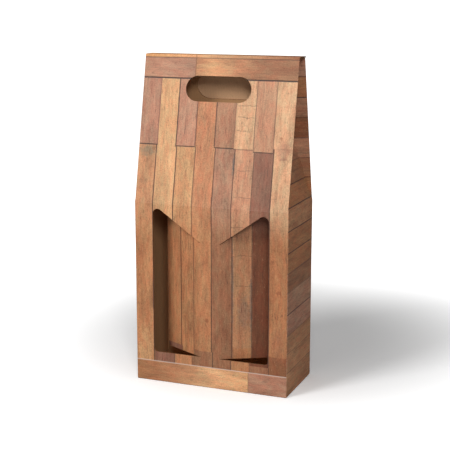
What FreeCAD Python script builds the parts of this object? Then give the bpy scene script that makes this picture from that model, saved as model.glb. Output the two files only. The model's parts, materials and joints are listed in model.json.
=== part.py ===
"""Bottle shipping box: a carrier for two bottles, folded from one sheet of thin corrugated board.

Millimetres. The origin is at the middle of the base, +Z is up and the printed front faces -Y.
The carton is one folded sheet. Its two window flaps, its handle flap, its top flap and the tuck
flap on the end of the top flap swing on creases, so each of them is a piece of its own.
"""
import FreeCAD, Part
import math
import os

import Sketcher

Vector = FreeCAD.Vector
X_AXIS = Vector(1, 0, 0)
Y_AXIS = Vector(0, 1, 0)
Z_AXIS = Vector(0, 0, 1)

doc = FreeCAD.newDocument("bottle_shipping_box")

# Driving dimensions
SIZES = {
    "box_width": 180,
    "box_depth": 86,
    "shoulder_height": 206,
    "box_height": 367,
    "top_depth": 19,
    "board": 1.5,
    "bend_radius": 1.5,
    "gusset_drop": 2.5,
    "cut_gap": 0.4,
    "hinge_gap": 0.15,
    "window_reach": 68,
    "window_base": 35,
    "window_peak": 205.5,
    "window_low_top": 166,
    "centre_strip": 24,
    "window_peak_radius": 6,
    "window_foot_radius": 4,
    "window_fold_angle": 28,
    "window_full_fold": 90,
    "hand_hole_width": 76,
    "hand_hole_height": 28,
    "hand_hole_drop": 36.7,
    "handle_tilt": 3,
    "handle_full_fold": 90,
    "tuck_width": 80,
    "tuck_length": 17,
    "tuck_gap": 0.6,
    "tuck_corner_radius": 7,
    "glue_tab_width": 20,
    "glue_tab_end_gap": 4,
    "base_seam_width": 0.7,
    "base_seam_depth": 0.6,
    "base_seam_step": 12,
    "base_seam_run": 24,
    "glue_seam_width": 0.4,
    "glue_seam_depth": 0.5,
}

sheet = doc.addObject("Spreadsheet::Sheet", "Sizes")
for row, (alias, value) in enumerate(SIZES.items(), start=1):
    sheet.set("A%d" % row, alias.replace("_", " "))
    sheet.set("B%d" % row, str(value))
    sheet.setAlias("B%d" % row, alias)
doc.recompute()

# Lengths and angles that follow from the driving dimensions, as formulas over the sheet
HALF_WIDTH = "Sizes.box_width / 2"
HALF_DEPTH = "Sizes.box_depth / 2"
HALF_TOP = "Sizes.top_depth / 2"
RISE = "(Sizes.box_height - Sizes.shoulder_height)"
INSET = "((Sizes.box_depth - Sizes.top_depth) / 2)"
LEAN = "atan(%s / %s)" % (INSET, RISE)
SLANT = "sqrt(%s ^ 2 + %s ^ 2)" % (RISE, INSET)
# Where the inner face of a slanted panel stands behind its outer face, measured level
LEVEL_BOARD = "Sizes.board / cos(%s)" % LEAN
# The inner line of the shoulder crease, a little below the outer one
INNER_SHOULDER = "Sizes.shoulder_height - Sizes.board * tan(%s / 2)" % LEAN
TOP_UNDERSIDE = "Sizes.box_height - Sizes.board"
# The inner corner of the crease between a slanted panel and the top, from the middle plane
TOP_CREASE = "(%s + Sizes.board * tan(%s) - %s)" % (HALF_TOP, LEAN, LEVEL_BOARD)
CREASE_X = "Sizes.centre_strip / 2"
STRIP_FACE = "-%s + Sizes.board" % HALF_DEPTH
HINGE_RADIUS = "Sizes.board + Sizes.hinge_gap"
HOLE_RISE = "(%s - Sizes.hand_hole_drop)" % SLANT
HOLE_STRAIGHT = "(Sizes.hand_hole_width - Sizes.hand_hole_height)"
HANDLE_RISE = "(%s + Sizes.hand_hole_height / 2)" % HOLE_RISE
HANDLE_Y = "(%s - %s * sin(%s))" % (HALF_DEPTH, HANDLE_RISE, LEAN)
HANDLE_Z = "(Sizes.shoulder_height + %s * cos(%s))" % (HANDLE_RISE, LEAN)
# The tuck flap's crease, from the crease of the top flap
TUCK_SETBACK = "(Sizes.board + Sizes.tuck_gap) / cos(%s)" % LEAN
TOP_SPAN = "(2 * %s - %s)" % (TOP_CREASE, TUCK_SETBACK)
TOP_FRONT = "(%s + %s - %s - Sizes.tuck_gap)" % (TOP_CREASE, HALF_TOP, LEVEL_BOARD)

# Tools reach this far past what they cut
PAST = 2.0
# Lengths smaller than this count as none, and an edge this near a spot passes through it
NOTHING = 1e-6
TOUCHING = 1e-4


def size(formula):
    """The value of a formula over the sheet, in millimetres or degrees."""
    return float(sheet.evalExpression(formula))


def origin_plane(body, role):
    """The named origin plane of a body."""
    return next(item for item in body.Origin.OriginFeatures if item.Role == role)


def new_body(label):
    body = doc.addObject("PartDesign::Body", label)
    body.Label = label
    return body


def place(item, base=None, axis=None, angle=None):
    """Turns an object about an axis through its own origin and sets the origin, all by formula."""
    if axis is not None:
        item.Placement = FreeCAD.Placement(Vector(), FreeCAD.Rotation(axis, size(angle)))
        item.setExpression("Placement.Rotation.Angle", angle)
    for name, formula in (base or {}).items():
        item.setExpression("Placement.Base." + name, formula)


def new_sketch(body, role, name):
    sketch = body.newObject("Sketcher::SketchObject", name)
    sketch.AttachmentSupport = [(origin_plane(body, role), "")]
    sketch.MapMode = "FlatFace"
    return sketch


def bind(sketch, constraint, formula):
    index = sketch.addConstraint(constraint)
    sketch.setExpression("Constraints[%d]" % index, formula)


def draw_outline(sketch, corners):
    """A closed outline of straight lines whose corners are given by formulas."""
    places = [Vector(size(across), size(up), 0) for across, up in corners]
    count = len(places)
    for index in range(count):
        sketch.addGeometry(Part.LineSegment(places[index], places[(index + 1) % count]), False)
    for index in range(count):
        sketch.addConstraint(Sketcher.Constraint("Coincident", index, 2, (index + 1) % count, 1))
    for index, (across, up) in enumerate(corners):
        spot = places[index]
        ways = (("DistanceX", across, spot.x, -2), ("DistanceY", up, spot.y, -1))
        for kind, formula, distance, axis in ways:
            if abs(distance) < NOTHING:
                sketch.addConstraint(Sketcher.Constraint("PointOnObject", index, 1, axis))
            else:
                bind(sketch, Sketcher.Constraint(kind, -1, 1, index, 1, distance), formula)


def pad(body, sketch, length, midplane=False):
    feature = body.newObject("PartDesign::Pad", sketch.Name + "Pad")
    feature.Profile = sketch
    feature.setExpression("Length", length)
    feature.Midplane = midplane
    sketch.Visibility = False
    doc.recompute()
    return feature


def pad_board(body, sketch):
    """The thickness of the board, from a sketch on the XZ plane towards -Y."""
    board = pad(body, sketch, "Sizes.board")
    if board.Shape.BoundBox.YMax > NOTHING:
        board.Reversed = True
        doc.recompute()
    return board


def round_corners(body, base, spots, radius):
    """Rounds the straight edges of a body's last feature that pass through the given spots."""
    names = []
    for number, edge in enumerate(base.Shape.Edges, start=1):
        if any(edge.distToShape(Part.Vertex(spot))[0] < TOUCHING for spot in spots):
            names.append("Edge%d" % number)
    feature = body.newObject("PartDesign::Fillet", body.Name + "Round")
    feature.Base = (base, names)
    feature.setExpression("Radius", radius)
    doc.recompute()
    return feature


def hinge_bead(body, kind, role, offset, bindings, length, span, radius="Sizes.board"):
    """A sector of a cylinder about a crease: the bend of the board, or the seat that it turns in."""
    bead = body.newObject(kind, body.Name + "Bead")
    bead.AttachmentSupport = [(origin_plane(body, role), "")]
    bead.MapMode = "FlatFace"
    bead.AttachmentOffset = offset
    for name, formula in bindings.items():
        bead.setExpression("AttachmentOffset.Base." + name, formula)
    bead.setExpression("Radius", radius)
    bead.setExpression("Height", length)
    bead.setExpression("Angle", span)
    doc.recompute()
    return bead


def crease_seat(name, axis, angle, base, length):
    """The round seat in the carton in which the bend of a flap turns."""
    seat = doc.addObject("Part::Cylinder", name)
    seat.setExpression("Radius", HINGE_RADIUS)
    seat.setExpression("Height", length)
    seat.Placement = FreeCAD.Placement(Vector(), FreeCAD.Rotation(axis, angle))
    for key, formula in base.items():
        seat.setExpression("Placement.Base." + key, formula)
    return seat


def boolean(kind, name, parts):
    feature = doc.addObject(kind, name)
    if kind == "Part::Cut":
        feature.Base, feature.Tool = parts
    else:
        feature.Shapes = parts
    doc.recompute()
    return feature


# The closed form of the folded box, and the space inside its walls
def outer_form():
    body = new_body("outer_form")
    sketch = new_sketch(body, "YZ_Plane", "OuterProfile")
    draw_outline(sketch, [
        ("-" + HALF_DEPTH, "0"),
        (HALF_DEPTH, "0"),
        (HALF_DEPTH, "Sizes.shoulder_height"),
        (HALF_TOP, "Sizes.box_height"),
        ("-" + HALF_TOP, "Sizes.box_height"),
        ("-" + HALF_DEPTH, "Sizes.shoulder_height"),
    ])
    block = pad(body, sketch, "Sizes.box_width", midplane=True)
    top = size("Sizes.box_height")
    folds = ["Edge%d" % number for number, edge in enumerate(block.Shape.Edges, start=1)
             if edge.BoundBox.ZMin < top - NOTHING]
    bends = body.newObject("PartDesign::Fillet", "OuterBends")
    bends.Base = (block, folds)
    bends.setExpression("Radius", "Sizes.bend_radius")
    doc.recompute()
    return body


def inner_form():
    """The inside of the walls. It runs on past the top, where the carton is open."""
    over = "(%s - %s - %.1f * tan(%s))" % (HALF_TOP, LEVEL_BOARD, PAST, LEAN)
    wall = "(%s - Sizes.board)" % HALF_DEPTH
    body = new_body("inner_form")
    sketch = new_sketch(body, "YZ_Plane", "InnerProfile")
    draw_outline(sketch, [
        ("-" + wall, "Sizes.board"),
        (wall, "Sizes.board"),
        (wall, INNER_SHOULDER),
        (over, "Sizes.box_height + %.1f" % PAST),
        ("-" + over, "Sizes.box_height + %.1f" % PAST),
        ("-" + wall, INNER_SHOULDER),
    ])
    pad(body, sketch, "Sizes.box_width - 2 * Sizes.board", midplane=True)
    return body


def plane_meet(planes):
    """The point where three planes meet. A plane is its unit normal and its distance."""
    (a, first), (b, second), (c, third) = planes
    scale = a.dot(b.cross(c))
    return (b.cross(c) * first + c.cross(a) * second + a.cross(b) * third) / scale


def gusset_recess(name, side, inward):
    """The recess that the folded-in end leaves: a three-sided notch with its point at the top.

    A gusset is a triangle that stands on the shoulder crease and two half triangles beside it.
    The flat end panel is as tall as the slanted panels, which fixes how far in its point comes.
    The inner faces of the board lie inward of the recess by that much: behind the triangle, and
    between each half triangle and the slanted panel that it folds back from.
    """
    half_width, half_depth, half_top = size(HALF_WIDTH), size(HALF_DEPTH), size(HALF_TOP)
    shoulder, top = size("Sizes.shoulder_height"), size("Sizes.box_height")
    rise, slant = top - shoulder, size(SLANT)
    point_rise = rise - half_top * (half_depth - half_top) / rise
    point_in = math.sqrt(slant ** 2 - point_rise ** 2)
    point = Vector(side * (half_width - point_in), 0, shoulder + point_rise)

    def board_plane(a, b, c, crease_middle):
        normal = (b - a).cross(c - a).normalize()
        if normal.dot(crease_middle - a) < 0:
            normal = -normal
        return normal, normal.dot(a) + inward

    corner = {end: Vector(side * half_width, end * half_depth, shoulder) for end in (-1, 1)}
    tip = {end: Vector(side * half_width, end * half_top, top) for end in (-1, 1)}
    middle = board_plane(corner[-1], corner[1], point, Vector(0, 0, shoulder))
    halves = {end: board_plane(corner[end], tip[end], point, Vector(0, end * half_depth, shoulder))
              for end in (-1, 1)}
    face = (X_AXIS, side * (half_width + PAST))
    lid = (Z_AXIS, top + half_top)
    low = {end: plane_meet((middle, halves[end], face)) for end in (-1, 1)}
    high = {end: plane_meet((lid, halves[end], face)) for end in (-1, 1)}
    apex = plane_meet((middle, halves[-1], halves[1]))
    crest = plane_meet((lid, halves[-1], halves[1]))
    rings = [
        (apex, low[-1], low[1]),
        (apex, low[-1], high[-1], crest),
        (apex, low[1], high[1], crest),
        (crest, high[-1], high[1]),
        (low[-1], low[1], high[1], high[-1]),
    ]
    faces = [Part.Face(Part.makePolygon(list(ring) + [ring[0]])) for ring in rings]
    recess = doc.addObject("Part::Feature", name)
    recess.Shape = Part.makeSolid(Part.makeShell(faces))
    return recess


def top_slot():
    """The mouth between the slanted panels, over the trimmed tops of the gussets.

    At the back it ends the panel square to its face, where the bend of the top flap begins.
    """
    low = "Sizes.box_height - Sizes.gusset_drop"
    wide = "(%s - %s + Sizes.gusset_drop * tan(%s))" % (HALF_TOP, LEVEL_BOARD, LEAN)
    narrow = "(%s - %s - %.1f * tan(%s))" % (HALF_TOP, LEVEL_BOARD, PAST, LEAN)
    across = "(Sizes.board + %.1f)" % PAST
    behind = "%s + %s * cos(%s)" % (TOP_CREASE, across, LEAN)
    body = new_body("top_slot")
    sketch = new_sketch(body, "YZ_Plane", "SlotProfile")
    draw_outline(sketch, [
        ("-" + wide, low),
        (wide, low),
        (TOP_CREASE, TOP_UNDERSIDE),
        (behind, "%s + %s * sin(%s)" % (TOP_UNDERSIDE, across, LEAN)),
        (behind, "Sizes.box_height + %.1f" % PAST),
        ("-" + narrow, "Sizes.box_height + %.1f" % PAST),
    ])
    pad(body, sketch, "Sizes.box_width + %.1f" % (2 * PAST), midplane=True)
    return body


def window_cut(name, side):
    """The tool for one window: upright at its outer side, slanted on top, rounded in its corners."""
    mark = "" if side > 0 else "-"
    body = new_body(name)
    sketch = new_sketch(body, "XZ_Plane", name + "Outline")
    inner, outer = mark + CREASE_X, mark + "Sizes.window_reach"
    draw_outline(sketch, [
        (inner, "Sizes.window_base"),
        (outer, "Sizes.window_base"),
        (outer, "Sizes.window_peak"),
        (inner, "Sizes.window_low_top"),
    ])
    block = pad(body, sketch, "4 * Sizes.board", midplane=True)
    reach = side * size("Sizes.window_reach")
    peak = Vector(reach, 0, size("Sizes.window_peak"))
    foot = Vector(reach, 0, size("Sizes.window_base"))
    rounded = round_corners(body, block, [peak], "Sizes.window_peak_radius")
    round_corners(body, rounded, [foot], "Sizes.window_foot_radius")
    place(body, {"y": "-%s + Sizes.board / 2" % HALF_DEPTH})
    doc.recompute()
    return body


def draw_stadium(sketch, straight, radius, drop):
    """A slot with round ends, as wide as its straight run and two radii, centred below the origin by drop."""
    half, round_size, low = size(straight) / 2, size(radius), -size(drop)
    right, left = Vector(half, low, 0), Vector(-half, low, 0)
    up = Vector(0, round_size, 0)
    quarter = math.pi / 2
    sketch.addGeometry(Part.LineSegment(left + up, right + up), False)
    sketch.addGeometry(Part.ArcOfCircle(Part.Circle(right, Z_AXIS, round_size), -quarter, quarter), False)
    sketch.addGeometry(Part.LineSegment(right - up, left - up), False)
    sketch.addGeometry(Part.ArcOfCircle(Part.Circle(left, Z_AXIS, round_size), quarter, 3 * quarter), False)
    for first, first_end, second, second_end in ((0, 2, 1, 2), (1, 1, 2, 1), (2, 2, 3, 2), (3, 1, 0, 1)):
        sketch.addConstraint(Sketcher.Constraint("Tangent", first, first_end, second, second_end))
    sketch.addConstraint(Sketcher.Constraint("Horizontal", 0))
    sketch.addConstraint(Sketcher.Constraint("Symmetric", 1, 3, 3, 3, -2))
    bind(sketch, Sketcher.Constraint("Radius", 1, round_size), radius)
    bind(sketch, Sketcher.Constraint("DistanceX", 3, 3, 1, 3, 2 * half), straight)
    if low < -NOTHING:
        bind(sketch, Sketcher.Constraint("DistanceY", 1, 3, -1, 1, -low), drop)
    else:
        sketch.addConstraint(Sketcher.Constraint("PointOnObject", 1, 3, -1))


def hand_hole(name, end):
    """The tool for the hand hole of one slanted panel: end is -1 at the front and 1 at the back."""
    body = new_body(name)
    sketch = new_sketch(body, "XZ_Plane", name + "Outline")
    draw_stadium(sketch, HOLE_STRAIGHT, "Sizes.hand_hole_height / 2", "0")
    pad(body, sketch, "4 * Sizes.board", midplane=True)
    mark = "" if end > 0 else "-"
    middle_y = "%s * sin(%s) - %s" % (HOLE_RISE, LEAN, HALF_DEPTH)
    base = {
        "y": middle_y if end < 0 else "-(%s)" % middle_y,
        "z": "Sizes.shoulder_height + %s * cos(%s)" % (HOLE_RISE, LEAN),
    }
    place(body, base, X_AXIS, "%s%s" % (mark, LEAN))
    doc.recompute()
    return body


def base_seams():
    """The seam on the underside, where the flaps of the base lock into each other."""
    body = new_body("base_seams")
    sketch = new_sketch(body, "XY_Plane", "SeamPath")
    half, step, run = "Sizes.base_seam_width / 2", "Sizes.base_seam_step / 2", "Sizes.base_seam_run / 2"
    end = "(%s - 2 * Sizes.board)" % HALF_WIDTH
    draw_outline(sketch, [
        ("-" + end, "%s - %s" % (step, half)),
        ("-%s - %s" % (run, half), "%s - %s" % (step, half)),
        ("%s - %s" % (run, half), "-%s - %s" % (step, half)),
        (end, "-%s - %s" % (step, half)),
        (end, "-%s + %s" % (step, half)),
        ("%s + %s" % (run, half), "-%s + %s" % (step, half)),
        ("-%s + %s" % (run, half), "%s + %s" % (step, half)),
        ("-" + end, "%s + %s" % (step, half)),
    ])
    pad(body, sketch, "Sizes.base_seam_depth")
    return body


def base_diagonals():
    """The creases of the base flaps, from each corner at 45 degrees to the middle seam."""
    seams = []
    start_x = "(%s - 2 * Sizes.board)" % HALF_WIDTH
    start_y = "(%s - 2 * Sizes.board)" % HALF_DEPTH
    for name, side, end in (("A", 1, 1), ("B", 1, -1), ("C", -1, 1), ("D", -1, -1)):
        seam = doc.addObject("Part::Box", "BaseDiagonal" + name)
        seam.setExpression("Length", "sqrt(2) * (%s - Sizes.base_seam_step / 2)" % start_y)
        seam.setExpression("Width", "Sizes.base_seam_width")
        seam.setExpression("Height", "Sizes.base_seam_depth")
        turn = math.degrees(math.atan2(-end, -side))
        seam.Placement = FreeCAD.Placement(Vector(), FreeCAD.Rotation(Z_AXIS, turn))
        seam.setExpression("Placement.Base.x", start_x if side > 0 else "-" + start_x)
        seam.setExpression("Placement.Base.y", start_y if end > 0 else "-" + start_y)
        seams.append(seam)
    return seams


def glue_seam():
    """The thin line beside the left back corner, where the end of the sheet meets the side panel."""
    seam = doc.addObject("Part::Box", "GlueSeam")
    seam.setExpression("Length", "Sizes.glue_seam_depth")
    seam.setExpression("Width", "Sizes.glue_seam_width")
    seam.setExpression("Height", "Sizes.shoulder_height - 2 * Sizes.bend_radius")
    seam.setExpression("Placement.Base.x", "-%s" % HALF_WIDTH)
    seam.setExpression("Placement.Base.y", "%s - Sizes.bend_radius - Sizes.glue_seam_width" % HALF_DEPTH)
    seam.setExpression("Placement.Base.z", "Sizes.bend_radius")
    return seam


def glue_tab():
    """The glued lap of the sheet, inside the back panel at the left corner."""
    tab = doc.addObject("Part::Box", "GlueTab")
    tab.setExpression("Length", "Sizes.glue_tab_width")
    tab.setExpression("Width", "Sizes.board")
    tab.setExpression("Height", "%s - Sizes.board - 2 * Sizes.glue_tab_end_gap" % INNER_SHOULDER)
    tab.setExpression("Placement.Base.x", "-%s + Sizes.board" % HALF_WIDTH)
    tab.setExpression("Placement.Base.y", "%s - 2 * Sizes.board" % HALF_DEPTH)
    tab.setExpression("Placement.Base.z", "Sizes.board + Sizes.glue_tab_end_gap")
    return tab


def make_carton():
    """The folded sheet: walls, slanted panels, gussets, base and glued lap."""
    hull = boolean("Part::Cut", "FoldedHull", [
        outer_form(),
        boolean("Part::MultiFuse", "OuterRecesses",
                [gusset_recess("OuterRecessRight", 1, 0.0), gusset_recess("OuterRecessLeft", -1, 0.0)]),
    ])
    board = size("Sizes.board")
    inside = boolean("Part::Cut", "FoldedInside", [
        inner_form(),
        boolean("Part::MultiFuse", "InnerRecesses",
                [gusset_recess("InnerRecessRight", 1, board), gusset_recess("InnerRecessLeft", -1, board)]),
    ])
    walls = boolean("Part::Cut", "FoldedWalls", [hull, inside])
    crease_length = "Sizes.window_low_top - Sizes.window_base"
    right_crease = {"x": CREASE_X, "y": STRIP_FACE, "z": "Sizes.window_base"}
    left_crease = dict(right_crease, x="-" + CREASE_X)
    cuts = boolean("Part::MultiFuse", "Openings", [
        top_slot(),
        window_cut("window_cut_right", 1),
        window_cut("window_cut_left", -1),
        hand_hole("hand_hole_front", -1),
        hand_hole("hand_hole_back", 1),
        base_seams(),
        glue_seam(),
        crease_seat("SeatRight", Z_AXIS, 0, right_crease, crease_length),
        crease_seat("SeatLeft", Z_AXIS, 0, left_crease, crease_length),
        crease_seat("SeatHandle", Y_AXIS, 90,
                    {"x": "-%s / 2" % HOLE_STRAIGHT, "y": HANDLE_Y, "z": HANDLE_Z}, HOLE_STRAIGHT),
        crease_seat("SeatTop", Y_AXIS, 90,
                    {"x": "-%s - %.1f" % (HALF_WIDTH, PAST), "y": TOP_CREASE, "z": TOP_UNDERSIDE},
                    "Sizes.box_width + %.1f" % (2 * PAST)),
    ] + base_diagonals())
    opened = boolean("Part::Cut", "OpenedWalls", [walls, cuts])
    carton = boolean("Part::MultiFuse", "carton", [opened, glue_tab()])
    carton.Label = "carton"
    return carton


def make_window_flap(label, side):
    """A window flap in its own frame: the crease is the Z axis, the board lies in front of it."""
    mark = "" if side > 0 else "-"
    body = new_body(label)
    sketch = new_sketch(body, "XZ_Plane", label + "Outline")
    slope = "((Sizes.window_peak - Sizes.window_low_top) / (Sizes.window_reach - %s))" % CREASE_X
    drop = "(Sizes.cut_gap * sqrt(1 + %s ^ 2))" % slope
    reach = "(Sizes.window_reach - %s - Sizes.cut_gap)" % CREASE_X
    foot = "(Sizes.window_base + Sizes.cut_gap)"
    peak_height = "Sizes.window_low_top + %s * %s - %s" % (reach, slope, drop)
    draw_outline(sketch, [
        ("0", foot),
        (mark + reach, foot),
        (mark + reach, peak_height),
        ("0", "Sizes.window_low_top - %s" % drop),
    ])
    board = pad_board(body, sketch)
    edge, mid_board = side * size(reach), -size("Sizes.board") / 2
    peak = Vector(edge, mid_board, size(peak_height))
    rounded = round_corners(body, board, [peak], "Sizes.window_peak_radius")
    round_corners(body, rounded, [Vector(edge, mid_board, size(foot))], "Sizes.window_foot_radius")
    # The bend covers the way from the flap's outer face to its inner face, on the strip's side
    start = 180 if side > 0 else 270
    turn = FreeCAD.Placement(Vector(), FreeCAD.Rotation(Z_AXIS, start))
    length = "Sizes.window_low_top - %s - %s" % (drop, foot)
    hinge_bead(body, "PartDesign::AdditiveCylinder", "XY_Plane", turn, {"z": foot}, length,
               "Sizes.window_full_fold")
    angle = "Sizes.window_fold_angle" if side > 0 else "-Sizes.window_fold_angle"
    place(body, {"x": mark + CREASE_X, "y": STRIP_FACE}, Z_AXIS, angle)
    doc.recompute()
    return body


def make_handle_flap():
    """The flap of the back hand hole, hung from a crease along the hole's upper side."""
    body = new_body("handle_flap")
    sketch = new_sketch(body, "XZ_Plane", "HandleOutline")
    draw_stadium(sketch, HOLE_STRAIGHT, "Sizes.hand_hole_height / 2 - Sizes.cut_gap",
                 "Sizes.hand_hole_height / 2")
    pad_board(body, sketch)
    turn = FreeCAD.Placement(Vector(), FreeCAD.Rotation(Z_AXIS, 90))
    span = "Sizes.handle_full_fold + 90"
    half = "(%s / 2 - Sizes.cut_gap)" % HOLE_STRAIGHT
    hinge_bead(body, "PartDesign::AdditiveCylinder", "YZ_Plane", turn, {"z": "-" + half}, "2 * " + half, span)
    place(body, {"y": HANDLE_Y, "z": HANDLE_Z}, X_AXIS, "%s + Sizes.handle_tilt * 1 deg" % LEAN)
    doc.recompute()
    return body


def make_top_flap():
    """The strip over the mouth, in its own frame: its crease is the X axis, its underside the XY plane."""
    body = new_body("top_flap")
    sketch = new_sketch(body, "YZ_Plane", "TopSection")
    draw_outline(sketch, [
        ("0", "0"),
        ("0", "Sizes.board"),
        ("-" + TOP_FRONT, "Sizes.board"),
        ("-" + TOP_FRONT, "0"),
    ])
    pad(body, sketch, "Sizes.box_width", midplane=True)
    turn = FreeCAD.Placement(Vector(), FreeCAD.Rotation(Z_AXIS, size(LEAN)))
    bead = hinge_bead(body, "PartDesign::AdditiveCylinder", "YZ_Plane", turn, {"z": "-" + HALF_WIDTH},
                      "Sizes.box_width", "90 deg - %s" % LEAN)
    bead.setExpression("AttachmentOffset.Rotation.Angle", LEAN)
    half = "(Sizes.tuck_width / 2 + Sizes.cut_gap)"
    whole_turn = FreeCAD.Placement(Vector(), FreeCAD.Rotation(Z_AXIS, 0))
    hinge_bead(body, "PartDesign::SubtractiveCylinder", "YZ_Plane", whole_turn,
               {"x": "-" + TOP_SPAN, "z": "-" + half}, "2 * " + half, "360", HINGE_RADIUS)
    notch = new_sketch(body, "XY_Plane", "TuckNotch")
    draw_outline(notch, [
        ("-" + half, "-%s" % TOP_SPAN),
        (half, "-%s" % TOP_SPAN),
        (half, "-%s - %.1f" % (TOP_FRONT, PAST)),
        ("-" + half, "-%s - %.1f" % (TOP_FRONT, PAST)),
    ])
    pocket = body.newObject("PartDesign::Pocket", "TuckNotchPocket")
    pocket.Profile = notch
    pocket.Type = "ThroughAll"
    pocket.Midplane = True
    place(body, {"y": TOP_CREASE, "z": TOP_UNDERSIDE})
    doc.recompute()
    return body


def make_tuck_flap():
    """The short flap that holds the top flap shut, in its own frame: its crease is the X axis."""
    body = new_body("tuck_flap")
    half = "(Sizes.tuck_width / 2)"
    sketch = new_sketch(body, "XZ_Plane", "TuckOutline")
    draw_outline(sketch, [
        ("-" + half, "0"),
        ("-" + half, "-Sizes.tuck_length"),
        (half, "-Sizes.tuck_length"),
        (half, "0"),
    ])
    board = pad_board(body, sketch)
    low, mid_board = -size("Sizes.tuck_length"), -size("Sizes.board") / 2
    corners = [Vector(-size(half), mid_board, low), Vector(size(half), mid_board, low)]
    round_corners(body, board, corners, "Sizes.tuck_corner_radius")
    span = "2 * (90 deg - %s)" % LEAN
    turn = FreeCAD.Placement(Vector(), FreeCAD.Rotation(Z_AXIS, 180 - size(span)))
    bead = hinge_bead(body, "PartDesign::AdditiveCylinder", "YZ_Plane", turn, {"z": "-" + half},
                      "Sizes.tuck_width", span)
    bead.setExpression("AttachmentOffset.Rotation.Angle", "180 deg - %s" % span)
    place(body, {"y": "%s - %s" % (TOP_CREASE, TOP_SPAN), "z": TOP_UNDERSIDE}, X_AXIS, "-%s" % LEAN)
    doc.recompute()
    return body


nodes = [
    make_carton(),
    make_window_flap("window_flap_left", -1),
    make_window_flap("window_flap_right", 1),
    make_handle_flap(),
    make_top_flap(),
    make_tuck_flap(),
]
doc.recompute()

for item in doc.Objects:
    if "Invalid" in item.State or "Error" in item.State:
        raise RuntimeError("%s is %s" % (item.Label, item.State))
for node in nodes:
    if node.Shape.isNull() or not node.Shape.isValid():
        raise RuntimeError("%s has no valid shape" % node.Label)
    if len(node.Shape.Solids) != 1:
        raise RuntimeError("%s is %d solids" % (node.Label, len(node.Shape.Solids)))

os.makedirs("parts", exist_ok=True)
for node in nodes:
    node.Shape.exportStep("parts/%s.step" % node.Label)
    print("%-18s %10.1f mm3" % (node.Label, node.Shape.Volume))
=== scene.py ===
import json
import math

import bmesh
import bpy
from bpy.props import FloatProperty, FloatVectorProperty, PointerProperty
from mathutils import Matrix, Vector

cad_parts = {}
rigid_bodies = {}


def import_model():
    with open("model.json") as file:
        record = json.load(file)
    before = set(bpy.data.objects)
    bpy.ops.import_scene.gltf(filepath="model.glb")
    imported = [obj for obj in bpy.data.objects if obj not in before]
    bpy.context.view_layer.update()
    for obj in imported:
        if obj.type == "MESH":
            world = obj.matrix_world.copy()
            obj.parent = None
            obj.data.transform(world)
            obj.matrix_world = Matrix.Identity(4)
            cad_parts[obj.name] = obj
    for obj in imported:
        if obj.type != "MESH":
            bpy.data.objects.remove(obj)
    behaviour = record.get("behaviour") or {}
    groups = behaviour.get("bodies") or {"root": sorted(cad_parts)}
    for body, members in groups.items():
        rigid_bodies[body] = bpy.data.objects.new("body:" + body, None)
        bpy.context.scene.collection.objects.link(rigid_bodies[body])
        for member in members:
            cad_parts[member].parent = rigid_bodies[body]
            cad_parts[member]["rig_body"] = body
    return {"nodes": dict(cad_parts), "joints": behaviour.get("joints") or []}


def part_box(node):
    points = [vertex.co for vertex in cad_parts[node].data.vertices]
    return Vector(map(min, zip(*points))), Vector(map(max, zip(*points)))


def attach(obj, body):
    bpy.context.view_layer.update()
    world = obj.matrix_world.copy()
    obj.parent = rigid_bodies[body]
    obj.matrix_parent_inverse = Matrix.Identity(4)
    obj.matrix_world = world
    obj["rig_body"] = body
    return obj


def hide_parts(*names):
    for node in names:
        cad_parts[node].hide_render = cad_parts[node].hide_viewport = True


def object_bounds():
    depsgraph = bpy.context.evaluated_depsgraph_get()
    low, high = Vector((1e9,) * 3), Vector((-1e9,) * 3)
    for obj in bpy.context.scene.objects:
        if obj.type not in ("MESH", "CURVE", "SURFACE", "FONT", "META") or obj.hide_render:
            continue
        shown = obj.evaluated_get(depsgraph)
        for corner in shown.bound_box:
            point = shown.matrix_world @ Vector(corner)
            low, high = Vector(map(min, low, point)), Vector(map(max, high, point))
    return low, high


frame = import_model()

bl_info = {
    "name": "Bottle shipping box",
    "version": (1, 0, 0),
    "blender": (4, 5, 0),
    "location": "3D View > Sidebar > Bottle box",
    "description": "Finishes a folded bottle box with its printed planks, kraft inside and cut board edges",
    "category": "Object",
}

# The whole object's box before anything is dressed, and the half sizes of the folded sheet
CAD_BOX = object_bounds()
CARTON_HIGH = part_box("carton")[1]
HALF_WIDTH, HALF_DEPTH = CARTON_HIGH.x, CARTON_HIGH.y
HEIGHT = CAD_BOX[1][2]
JOINTS = {joint["name"]: joint for joint in frame["joints"]}

X, Y, Z = Vector((1, 0, 0)), Vector((0, 1, 0)), Vector((0, 0, 1))

# Names of the two maps on every dressed face, and the order of the three finishes
SHEET_MAP, EDGE_MAP = "flat_sheet", "board_edge"
PRINTED, INSIDE, CUT = 0, 1, 2

# How near a face lies to a panel's plane, how much it faces that way and how far past the panel's edge it
# may lie, to count as part of it; below which facing it is a cut; and the sharpest edge shaded smoothly
NEAR_PLANE = 0.0003
FACING = 0.97
EXTENT_MARGIN = 0.003
BEND_FACING = 0.34
SMOOTH_ANGLE = math.radians(32)
# An edge cut across the flutes shows their wave, and one along them shows a quarter of a wave in
ALONG_FLUTES = 0.7
QUARTER_FLUTE = 0.25 * 0.0033

# The print's places and sizes are in millimetres on the flat sheet, from the middle of the front's base.
# Across the front, where one plank ends and the next begins, row by row
UPPER_SEAMS = (-67.5, -45, -22.5, 0, 22.5, 45, 67.5)
LOWER_SEAMS = (-68, -43.8, -21.5, 1.8, 24.6, 46.6, 68.6)
FOOT_SEAMS = (-67, -42.6, -20.8, 3.3, 25.9, 46.2, 69)
BAND_SEAMS = (45.2,)
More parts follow.
